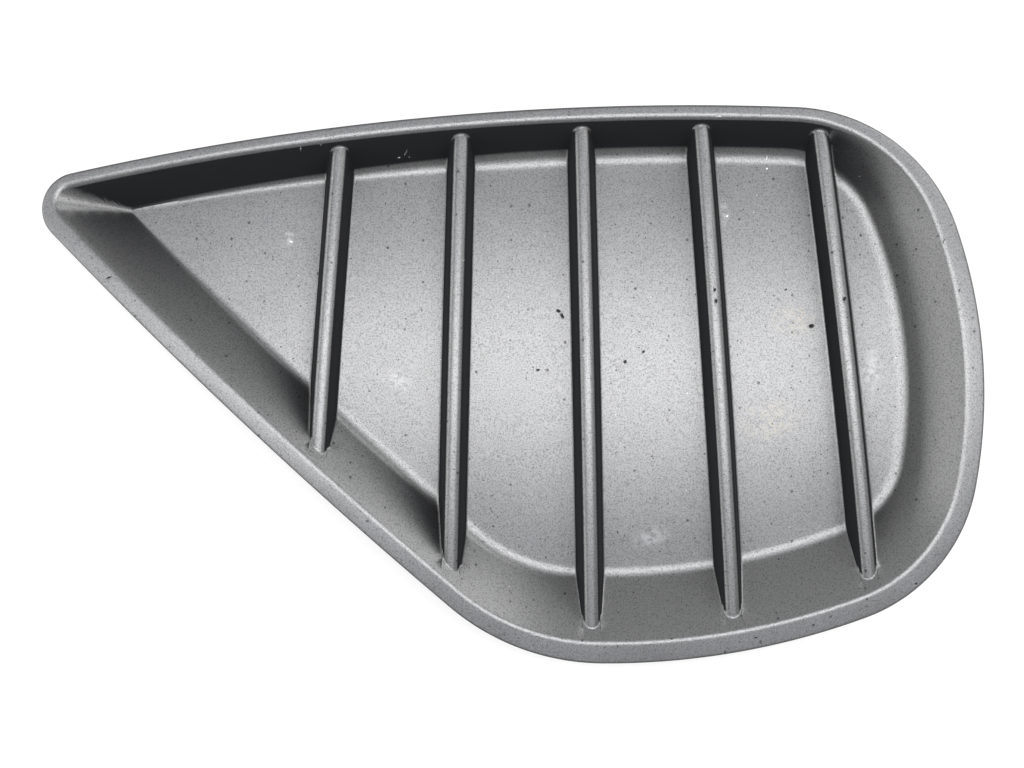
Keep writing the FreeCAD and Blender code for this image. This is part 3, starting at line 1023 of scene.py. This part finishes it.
def new_object(name: str, vertices: list, faces: list) -> bpy.types.Object:
    """Make a mesh object from its points and faces.

    Args:
        name: name of the object.
        vertices: the points.
        faces: the faces, as tuples of places in the points.

    Returns:
        The object, linked to the scene.
    """
    mesh = bpy.data.meshes.new(name)
    mesh.from_pydata([tuple(map(float, point)) for point in vertices], [], faces)
    mesh.validate()
    made = bpy.data.objects.new(name, mesh)
    bpy.context.scene.collection.objects.link(made)
    return made


@dataclass
class Moulding:
    """The whole part as one closed mesh: both faces, the outer edge between them and the hooks."""

    sharp_angle: float = math.radians(32)
    made: bpy.types.Object = field(init=False)

    def build(self) -> None:
        """Build the mesh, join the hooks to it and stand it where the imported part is."""
        front = FaceMesh(Ribs(Dish(Face.FRONT)))
        back = FaceMesh(Ribs(Dish(Face.BACK)))
        front.build()
        back.build()
        first = len(front.points)
        vertices = np.concatenate((front.points, back.points))
        faces = [self.facing(vertices, face, True) for face in front.triangles]
        shifted = [tuple(n + first for n in face) for face in back.triangles]
        faces += [self.facing(vertices, face, False) for face in shifted]
        count = len(front.edge)
        for n in range(count):
            after = (n + 1) % count
            below, below_after = first + back.edge[n], first + back.edge[after]
            faces.append((front.edge[n], below, below_after, front.edge[after]))
        log.info("shell: %d points, %d faces", len(vertices), len(faces))
        self.made = new_object("moulded_grille", vertices, faces)
        self.join_hooks(Hooks().build())
        self.place()
        self.smooth()

    @staticmethod
    def facing(vertices: np.ndarray, face: tuple[int, ...], up: bool) -> tuple[int, ...]:
        """Order a face's points so that it looks up or down.

        Args:
            vertices: all points.
            face: places of the face's points among them.
            up: whether the face looks up.

        Returns:
            The face's points in order.
        """
        first, second, third = (vertices[n][:2] for n in face[:3])
        turn = np.cross(second - first, third - first)
        return face if (turn > 0) == up else tuple(reversed(face))

    def join_hooks(self, hooks: bpy.types.Object) -> None:
        """Fuse the hooks with the flange.

        Args:
            hooks: the hooks' object, which is removed.
        """
        union = self.made.modifiers.new("hooks", "BOOLEAN")
        union.operation = "UNION"
        union.solver = "MANIFOLD"
        union.object = hooks
        self.apply_modifiers()
        bpy.data.objects.remove(hooks)

    def apply_modifiers(self) -> None:
        """Replace the mesh by what its modifiers make of it."""
        graph = bpy.context.evaluated_depsgraph_get()
        mesh = bpy.data.meshes.new_from_object(self.made.evaluated_get(graph))
        self.made.modifiers.clear()
        self.made.data = mesh

    def place(self) -> None:
        """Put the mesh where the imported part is: same middle of the box, same top."""
        count = len(self.made.data.vertices)
        points = np.empty(count * 3, np.float32)
        self.made.data.vertices.foreach_get("co", points)
        points = points.reshape(-1, 3)
        low, high = points.min(axis=0), points.max(axis=0)
        middle = (np.array(cad_low) + np.array(cad_high)) / 2
        shift = middle - (low + high) / 2
        shift[2] = cad_high.z - high[2]
        points += shift.astype(np.float32)
        points[:, 2] = np.maximum(points[:, 2], cad_low.z)
        self.made.data.vertices.foreach_set("co", points.ravel())
        self.made.data.update()
        log.info("placed by %s mm, box %s mm", np.round(shift / MM, 3), np.round((high - low) / MM, 3))

    def smooth(self) -> None:
        """Shade the mesh smooth apart from its sharp edges."""
        mesh = self.made.data
        mesh.polygons.foreach_set("use_smooth", [True] * len(mesh.polygons))
        mesh.set_sharp_from_angle(angle=self.sharp_angle)

    def dress(self, material: bpy.types.Material) -> None:
        """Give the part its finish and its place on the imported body.

        Args:
            material: the finish.
        """
        self.made.data.materials.clear()
        self.made.data.materials.append(material)
        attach(self.made, "root")
        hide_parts(NODE)


def linear(code: str) -> tuple[float, float, float, float]:
    """Turn an sRGB hex colour into the linear colour that a shader takes.

    Args:
        code: the colour as # and six hex digits.

    Returns:
        Red, green, blue and an alpha of 1.
    """
    shares = (int(code[place:place + 2], 16) / 255 for place in (1, 3, 5))
    red, green, blue = (s / 12.92 if s <= 0.04045 else ((s + 0.055) / 1.055) ** 2.4 for s in shares)
    return red, green, blue, 1.0


def add_node(tree: Tree, kind: str, inputs: dict | None = None, **settings: object) -> bpy.types.Node:
    """Add a node with its settings and links.

    Args:
        tree: the node tree.
        kind: the node's type.
        inputs: number, colour or socket for each input, by its name or place.
        settings: properties of the node.

    Returns:
        The new node.
    """
    node = tree.nodes.new(kind)
    for name, setting in settings.items():
        setattr(node, name, setting)
    for name, given in (inputs or {}).items():
        if isinstance(given, Socket):
            tree.links.new(given, node.inputs[name])
        else:
            node.inputs[name].default_value = given
    return node


def empty_tree(owner: bpy.types.Material | bpy.types.World) -> Tree:
    """Give a material or world a node tree with nothing in it.

    Args:
        owner: the material or world.

    Returns:
        Its node tree.
    """
    owner.use_nodes = True
    owner.node_tree.nodes.clear()
    return owner.node_tree


@dataclass(frozen=True)
class Dots:
    """Small dots scattered over the part.

    The pitch is the mean distance between places where a dot may lie, and kept is the share of the
    places that hold one. The radius is the largest dot's. A dot fades over its edge, a share of
    that radius.
    """

    pitch: float
    radius: float
    kept: float
    edge: float = 0.4

    def build(self, tree: Tree, place: Socket) -> Socket:
        """Add the dots' nodes.

        Args:
            tree: the material's node tree.
            place: position on the part.

        Returns:
            Socket of the share that the dots cover.
        """
        given = {"Vector": place, "Scale": 1 / self.pitch}
        cells = add_node(tree, "ShaderNodeTexVoronoi", given, voronoi_dimensions="2D")
        chances = add_node(tree, "ShaderNodeSeparateColor", {"Color": cells.outputs["Color"]})
        largest = self.radius / self.pitch
        given = {"Value": chances.outputs["Red"], "From Min": 1 - self.kept, "To Max": largest}
        size = add_node(tree, "ShaderNodeMapRange", given).outputs["Result"]
        apart = {0: size, 1: cells.outputs["Distance"]}
        near = add_node(tree, "ShaderNodeMath", apart, operation="SUBTRACT").outputs[0]
        return ramp(tree, near, (0.0, largest * self.edge), (0.0, 1.0))


@dataclass(frozen=True)
class MouldedPolypropylene:
    """Injection-moulded black polypropylene with a fine grain.

    The eye sees a near-black body with a broad, soft sheen, broken up by the tool's grain. A lighter
    haze lies on all that faces up: partly dust from handling, partly a painted sheen on the level
    faces. The steep sides keep almost no sheen and turn rough, a painted shade on them. Dents and pits
    are darkened, a painted shade inside them. Such parts have a grain of 0.1 to 0.2 mm. It is drawn
    coarser, because a picture of this size can't hold it. Values named from and to say how far a
    surface faces up, 1 for level. Marks lie only where the face is open to above.
    """

    body: str = "#121315"
    haze_and_sheen: str = "#888a8f"
    ior: float = 1.65
    body_sheen: float = 0.5
    roughness: float = 0.42
    coat_ior: float = 1.7
    coat_roughness: float = 0.34
    steep_shade_roughness: float = 0.85
    steep_shade_sheen: float = 0.12
    steep_shade_from: float = 0.76
    steep_shade_to: float = 0.60
    grain: float = 0.0005
    grain_detail: float = 2.0
    grain_middle: tuple[float, float] = (0.30, 0.70)
    grain_broken: tuple[float, float] = (0.32, 0.58)
    grain_depth: float = 0.00004
    grain_colour: float = 0.30
    grain_gloss: float = 0.030
    grain_sheen: float = 0.58
    cloud: float = 0.030
    cloud_detail: float = 4.0
    cloud_least: float = 0.7
    haze_and_sheen_share: float = 0.24
    haze_and_sheen_from: float = 0.90
    haze_and_sheen_to: float = 0.97
    patch: float = 0.0022
    patch_detail: float = 5.0
    patch_middle: tuple[float, float] = (0.38, 0.62)
    scuff_share: float = 0.30
    stain_share: float = 0.22
    soft_edge: float = 0.2
    firm_edge: float = 0.6
    flatten: float = 1000.0
    marked_from: float = 0.35
    marked_to: float = 0.65
    dent_shade: float = 0.8
    pit_shade: float = 0.55
    pits: Dots = Dots(pitch=0.0060, radius=0.0007, kept=0.35)
    small_pits: Dots = Dots(pitch=0.0024, radius=0.0004, kept=0.22)
    lint: Dots = Dots(pitch=0.012, radius=0.00018, kept=0.30)

    def build(self) -> bpy.types.Material:
        """Build the material's nodes.

        Returns:
            The material.
        """
        material = bpy.data.materials.new("moulded_polypropylene")
        tree = empty_tree(material)
        place = add_node(tree, "ShaderNodeTexCoord").outputs["Object"]
        grain = noise(tree, place, self.grain, self.grain_detail)
        normal = add_node(tree, "ShaderNodeNewGeometry").outputs["Normal"]
        upward = add_node(tree, "ShaderNodeSeparateXYZ", {"Vector": normal}).outputs["Z"]
        # Painted shade: steep faces lose their sheen and turn rough, so they stay dark.
        clear_of_steep_shade = ramp(tree, upward, (self.steep_shade_to, self.steep_shade_from), (0.0, 1.0))
        open_face = ramp(tree, upward, (self.marked_from, self.marked_to), (0.0, 1.0))
        pits = highest(tree, self.pits.build(tree, place), self.small_pits.build(tree, place))
        # Painted shade: dents and pits get a darker colour for the shade inside them.
        shaded_dents = multiply(tree, self.marks(tree, place, Wear.DENT), open_face, self.dent_shade)
        dents = highest(tree, shaded_dents, multiply(tree, pits, clear_of_steep_shade, self.pit_shade))
        flecks = self.marks(tree, place, Wear.SPECK)
        flecks = multiply(tree, flecks, open_face, self.broken(tree, place))
        specks = highest(tree, flecks, multiply(tree, clear_of_steep_shade, self.lint.build(tree, place)))
        bare = ramp(tree, highest(tree, dents, specks), (0.0, 1.0), (1.0, 0.0))
        broken_up = ramp(tree, grain, self.grain_broken, (self.grain_sheen, 1.0))
        sheen = multiply(tree, clear_of_steep_shade, bare, broken_up)
        relief = {"Height": grain, "Distance": self.grain_depth, "Strength": 1.0}
        bump = add_node(tree, "ShaderNodeBump", relief).outputs["Normal"]
        level = ramp(tree, sheen, (0.0, 1.0), (self.steep_shade_sheen, self.body_sheen))
        shader = add_node(
            tree,
            "ShaderNodeBsdfPrincipled",
            {
                "Base Color": self.colour(tree, place, upward, grain, dents, specks),
                "Roughness": ramp(tree, sheen, (0.0, 1.0), (self.steep_shade_roughness, self.roughness)),
                "Normal": bump,
                "IOR": self.ior,
                "Specular IOR Level": level,
                "Coat Weight": sheen,
                "Coat IOR": self.coat_ior,
                "Coat Roughness": ramp(tree, grain, self.grain_middle, self.gloss_range()),
                "Coat Normal": bump,
            },
        )
        add_node(tree, "ShaderNodeOutputMaterial", {"Surface": shader.outputs["BSDF"]})
        return material

    def gloss_range(self) -> tuple[float, float]:
        """Roughness of the sheen in the grain's valleys and on its tops."""
        return self.coat_roughness - self.grain_gloss, self.coat_roughness + self.grain_gloss

    def colour(
        self, tree: Tree, place: Socket, upward: Socket, grain: Socket, dents: Socket, specks: Socket
    ) -> Socket:
        """Body colour with a lighter haze on what faces up, partly dust and partly painted sheen, and
        the marks of use, with painted shade in the dents and pits.

        Args:
            tree: the material's node tree.
            place: position on the part.
            upward: how far the surface faces up.
            grain: height of the grain.
            dents: share of dents and pits, which carry painted shade.
            specks: share of pale specks.

        Returns:
            The colour's socket.
        """
        # A lighter haze on what faces up: partly dust, partly a painted sheen on the level faces.
        lies = ramp(tree, upward, (self.haze_and_sheen_from, self.haze_and_sheen_to), (0.0, 1.0))
        cloud = noise(tree, place, self.cloud, self.cloud_detail)
        cloudy_range = (self.cloud_least * self.haze_and_sheen_share, self.haze_and_sheen_share)
        cloudy = ramp(tree, cloud, self.grain_middle, cloudy_range)
        fine = ramp(tree, grain, self.grain_middle, (1 - self.grain_colour, 1 + self.grain_colour))
        colour = blend(tree, multiply(tree, lies, cloudy, fine), linear(self.body), linear(self.haze_and_sheen))
        broken = self.broken(tree, place)
        for wear, strength in ((Wear.SCUFF, self.scuff_share), (Wear.STAIN, self.stain_share)):
            share = multiply(tree, self.marks(tree, place, wear), lies, broken, strength)
            colour = blend(tree, share, colour, linear(wear.value))
        colour = blend(tree, specks, colour, linear(Wear.SPECK.value))
        # Painted shade in the dents and pits.
        return blend(tree, dents, colour, linear(Wear.DENT.value))

    def broken(self, tree: Tree, place: Socket) -> Socket:
        """Share that breaks up a patch into uneven spots."""
        patchy = noise(tree, place, self.patch, self.patch_detail)
        return ramp(tree, patchy, self.patch_middle, (0.0, 1.0))

    def marks(self, tree: Tree, place: Socket, wear: Wear) -> Socket:
        """Share of the marks of one kind, 1 in their middle and 0 past their edge.

        Args:
            tree: the material's node tree.
            place: position on the part.
            wear: the kind of mark.

        Returns:
            The share's socket.
        """
        edge = self.soft_edge if wear in (Wear.SCUFF, Wear.STAIN) else self.firm_edge
        shares = []
        for mark in (mark for mark in MARKS if mark.wear is wear):
            # A mark lies on the plan, so the height counts for next to nothing.
            given = {
                "Vector": place,
                "Location": (mark.x * MM, mark.y * MM, 0.0),
                "Rotation": (0.0, 0.0, math.radians(mark.bearing)),
                "Scale": (mark.length / 2 * MM, mark.width / 2 * MM, self.flatten),
            }
            moved = add_node(tree, "ShaderNodeMapping", given, vector_type="TEXTURE").outputs["Vector"]
            reach = add_node(tree, "ShaderNodeVectorMath", {0: moved}, operation="LENGTH")
            shares.append(ramp(tree, reach.outputs["Value"], (1.0, edge), (0.0, 1.0)))
        return highest(tree, *shares)


def seen_directly(tree: Tree) -> Socket:
    """1 where the camera sees a surface itself, in a sheen or through something clear."""
    rays = add_node(tree, "ShaderNodeLightPath").outputs
    return highest(tree, rays["Is Camera Ray"], rays["Is Glossy Ray"], rays["Is Transmission Ray"])


def highest(tree: Tree, *shares: Socket) -> Socket:
    """Greatest of some sockets.

    Args:
        tree: the node tree.
        shares: the sockets.

    Returns:
        The result's socket.
    """
    most = shares[0]
    for share in shares[1:]:
        most = add_node(tree, "ShaderNodeMath", {0: most, 1: share}, operation="MAXIMUM").outputs[0]
    return most


def noise(tree: Tree, place: Socket, size: float, detail: float) -> Socket:
    """Noise of a feature size in metres, as a socket."""
    given = {"Vector": place, "Scale": 1 / size, "Detail": detail}
    return add_node(tree, "ShaderNodeTexNoise", given).outputs["Fac"]


def ramp(tree: Tree, value: Socket, source: tuple[float, float], target: tuple[float, float]) -> Socket:
    """Map a value smoothly from one range to another.

    Args:
        tree: the node tree.
        value: the socket to map.
        source: the value's range.
        target: the range of the result.

    Returns:
        The result's socket.
    """
    given = {"Value": value, "From Min": source[0], "From Max": source[1]}
    given |= {"To Min": target[0], "To Max": target[1]}
    return add_node(tree, "ShaderNodeMapRange", given, interpolation_type="SMOOTHSTEP").outputs["Result"]


def multiply(tree: Tree, *factors: Socket | float) -> Socket:
    """Product of sockets and numbers.

    Args:
        tree: the node tree.
        factors: the factors, a socket first.

    Returns:
        The product's socket.
    """
    product = factors[0]
    for factor in factors[1:]:
        pair = {0: product, 1: factor}
        product = add_node(tree, "ShaderNodeMath", pair, operation="MULTIPLY").outputs[0]
    return product


def blend(tree: Tree, share: Socket, first: Socket | tuple, second: Socket | tuple) -> Socket:
    """Mix two colours by a share.

    Args:
        tree: the node tree.
        share: share of the second colour.
        first: colour or socket at a share of 0.
        second: colour or socket at a share of 1.

    Returns:
        The mixed colour's socket.
    """
    node = add_node(tree, "ShaderNodeMix", data_type="RGBA")
    factor, before, after = node.inputs[0], node.inputs[6], node.inputs[7]
    for socket, given in ((factor, share), (before, first), (after, second)):
        if isinstance(given, Socket):
            tree.links.new(given, socket)
        else:
            socket.default_value = given
    return node.outputs[2]


@dataclass(frozen=True)
class PaintedBoard:
    """Matt white painted board, the floor that the part lies on.

    It has no sheen of its own, so the eye sees an even white and the part's soft shadow. The glow is
    the share that looks plain white to the camera, and in the part's sheen.
    """

    colour: str = "#fafafa"
    glow: float = 0.6

    def build(self) -> bpy.types.Material:
        """Build the material's nodes.

        Returns:
            The material.
        """
        material = bpy.data.materials.new("painted_board")
        tree = empty_tree(material)
        board = add_node(tree, "ShaderNodeBsdfDiffuse", {"Color": linear(self.colour)})
        glow = add_node(tree, "ShaderNodeEmission", {"Color": (1, 1, 1, 1), "Strength": 1.0})
        share = multiply(tree, seen_directly(tree), self.glow)
        layers = {0: share, 1: board.outputs[0], 2: glow.outputs[0]}
        mixed = add_node(tree, "ShaderNodeMixShader", layers)
        add_node(tree, "ShaderNodeOutputMaterial", {"Surface": mixed.outputs[0]})
        return material


@dataclass(frozen=True)
class Lamp:
    """An oblong soft lamp that faces the part, its width level."""

    name: str
    place: tuple[float, float, float]
    width: float
    height: float
    watts: float
    aim: tuple[float, float, float] = (0.0, 0.0, 0.0)

    def build(self) -> None:
        """Add the lamp to the scene."""
        data = bpy.data.lights.new(self.name, "AREA")
        data.shape = "RECTANGLE"
        data.size = self.width
        data.size_y = self.height
        data.energy = self.watts
        made = bpy.data.objects.new(self.name, data)
        made.location = self.place
        facing = (Vector(self.place) - Vector(self.aim)).normalized()
        across = Vector((0, 1, 0)).cross(facing).normalized()
        axes = Matrix((across, facing.cross(across), facing)).transposed()
        made.rotation_euler = axes.to_euler()
        bpy.context.scene.collection.objects.link(made)


@dataclass(frozen=True)
class Studio:
    """Pale floor, soft lamps, white surroundings and the camera.

    The picture scale is the width of one pixel in metres at the outline's height. The two front
    lamps overlap, which gives the floor of the part a bright middle that fades to the sides.
    """

    board: PaintedBoard = PaintedBoard()
    floor_reach: float = 6.0
    camera_distance: float = 0.800
    picture_scale: float = 0.000337
    picture_width: int = 1024
    sensor: float = 36.0
    outline_height: float = 0.021
    ambient: float = 0.26
    lamps: tuple[Lamp, ...] = (
        Lamp("front_core", (0.09, 0.03, 0.85), 0.98, 0.36, 5.6),
        Lamp("front_wide", (0.08, 0.05, 0.86), 2.20, 0.32, 7.8),
        Lamp("upper", (-0.10, 0.75, 0.95), 1.2, 0.6, 0.4),
        Lamp("left", (-1.20, 0.10, 0.42), 0.5, 1.2, 8.4),
        Lamp("right", (1.20, 0.15, 0.42), 0.5, 1.0, 1.4),
        Lamp("upper_right", (0.85, 0.78, 0.50), 0.7, 0.6, 6.0),
        Lamp("lower_left", (-0.90, -0.70, 0.35), 0.6, 0.6, 2.2),
    )

    def build(self) -> None:
        """Add everything round the part to the scene."""
        self.add_floor()
        self.add_world()
        self.add_camera()
        for lamp in self.lamps:
            lamp.build()

    def add_floor(self) -> None:
        """Lay a plain pale floor under the part."""
        reach = self.floor_reach
        corners = [(-reach, -reach, 0), (reach, -reach, 0), (reach, reach, 0), (-reach, reach, 0)]
        floor = new_object("floor", corners, [(0, 1, 2, 3)])
        floor.data.materials.append(self.board.build())

    def add_world(self) -> None:
        """Make surroundings that are white to the camera, and to the part only a dim grey."""
        world = bpy.data.worlds.new("surroundings")
        bpy.context.scene.world = world
        tree = empty_tree(world)
        levels = {"Value": seen_directly(tree), "To Min": self.ambient, "To Max": 1.0}
        strength = add_node(tree, "ShaderNodeMapRange", levels).outputs["Result"]
        sky = add_node(tree, "ShaderNodeBackground", {"Color": (1, 1, 1, 1), "Strength": strength})
        add_node(tree, "ShaderNodeOutputWorld", {"Surface": sky.outputs["Background"]})

    def add_camera(self) -> None:
        """Put the camera straight over the part, at the photograph's scale."""
        data = bpy.data.cameras.new("camera")
        data.sensor_width = self.sensor
        focal_pixels = self.camera_distance / self.picture_scale
        data.lens = self.sensor * focal_pixels / self.picture_width
        made = bpy.data.objects.new("camera", data)
        made.location = (0.0, 0.0, self.outline_height + self.camera_distance)
        bpy.context.scene.collection.objects.link(made)
        bpy.context.scene.camera = made


def main() -> None:
    """Build the part, dress it and set the studio round it."""
    logging.basicConfig(level=logging.INFO, format="%(message)s")
    moulding = Moulding()
    moulding.build()
    moulding.dress(MouldedPolypropylene().build())
    log.info("%s: %d faces", moulding.made.name, len(moulding.made.data.polygons))
    Studio().build()
    bpy.context.scene.view_settings.view_transform = "Standard"


if __name__ == "__main__":
    main()
